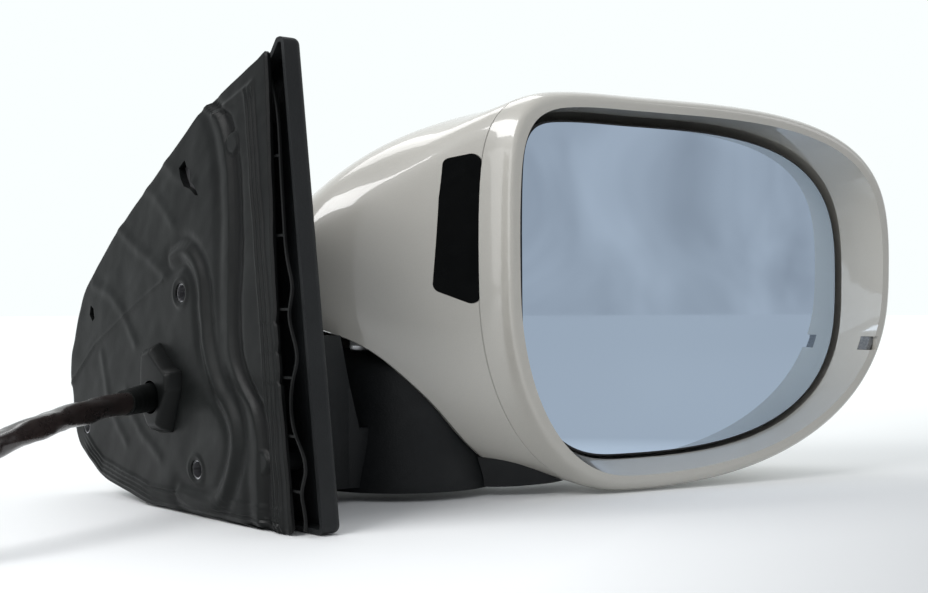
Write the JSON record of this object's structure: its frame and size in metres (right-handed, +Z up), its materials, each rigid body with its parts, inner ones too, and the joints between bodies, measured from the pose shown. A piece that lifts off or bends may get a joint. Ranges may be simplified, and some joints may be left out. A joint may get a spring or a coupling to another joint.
{
  "type": "car door mirror",
  "caption": "Car door mirror: painted head with tilting glass, folding on a black foot with a mounting face, rubber gasket and wiring harness.",
  "frame": {"origin": "on the mounting face against the door, low in its middle", "axes": "+X outboard from the door, +Y towards the front of the car, +Z up"},
  "size_m": [0.6053, 0.2316, 0.1912],
  "materials": {
    "painted_body": "gloss",
    "black_shell": "grained",
    "rubber": "matt",
    "dark_lens": "gloss",
    "lamp_lens": "gloss",
    "smoke_window": "gloss",
    "mirror": "silvered",
    "heater_film": "film",
    "inner_plastic": "moulded",
    "white_nylon": "moulded",
    "cast_metal": "cast",
    "steel": "plain",
    "cable_sheath": "glossy sheath"
  },
  "bodies": {
    "foot": {"base_cover": "black_shell", "base_bracket": "cast_metal", "mounting_inserts": "steel", "cover_screws": "steel", "base_gasket": "rubber", "cable_grommet": "rubber", "edge_seal": "rubber", "harness": "cable_sheath", "harness_connector": "inner_plastic", "stop_ring": "steel", "pivot_shaft": "steel", "pivot_screws": "steel", "fold_gear": "steel", "fold_spring": "steel", "spring_retainer": "steel"},
    "head": {"housing_shell": "painted_body", "bezel_rim": "painted_body", "head_lower_cover": "black_shell", "assist_lens": "dark_lens", "indicator_lens": "lamp_lens", "indicator_window": "smoke_window", "actuator_housing": "inner_plastic", "actuator_cover": "inner_plastic", "tilt_motor_low": "steel", "tilt_motor_high": "steel", "actuator_screws": "steel", "head_frame": "cast_metal", "fold_case": "inner_plastic", "fold_motor": "steel", "assist_unit": "inner_plastic", "indicator_unit": "inner_plastic"},
    "worm": {"fold_worm": "steel"},
    "cross": {"tilt_cross": "white_nylon"},
    "glass": {"mirror_glass": "mirror", "heater_pad": "heater_film", "glass_holder": "inner_plastic"},
    "sideways_jack": {"jack_sideways": "white_nylon"},
    "upright_jack": {"jack_upright": "white_nylon"}
  },
  "joints": [
    {"name": "fold", "type": "hinge", "parent": "foot", "child": "head", "pos_m": [0.118, 0.014, 0], "axis": [0, 0, 1], "range_deg": [-56, 35]},
    {"name": "worm_spin", "type": "hinge", "parent": "head", "child": "worm", "pos_m": [0.13612, 0.01081, 0.04], "axis": [0.1736, 0.9848, 0], "range_deg": [-1400, 850]},
    {"name": "tilt_up_down", "type": "hinge", "parent": "head", "child": "cross", "pos_m": [0.25122, -0.03672, 0.038], "axis": [0.9848, -0.1736, 0], "range_deg": [-7, 7]},
    {"name": "tilt_sideways", "type": "hinge", "parent": "cross", "child": "glass", "pos_m": [0.25122, -0.03672, 0.038], "axis": [0, 0, 1], "range_deg": [-7, 7]},
    {"name": "sideways_push", "type": "slide", "parent": "head", "child": "sideways_jack", "axis": [-0.1736, -0.9848, 0], "range_m": [-0.0042, 0.0042]},
    {"name": "upright_push", "type": "slide", "parent": "head", "child": "upright_jack", "axis": [-0.1736, -0.9848, 0], "range_m": [-0.0042, 0.0042]}
  ],
  "couplings": [
    {"joint": "worm_spin", "follows": "fold", "ratio": 24},
    {"joint": "sideways_push", "follows": "tilt_sideways", "m_per_rad": -0.034},
    {"joint": "upright_push", "follows": "tilt_up_down", "m_per_rad": -0.034}
  ]
}
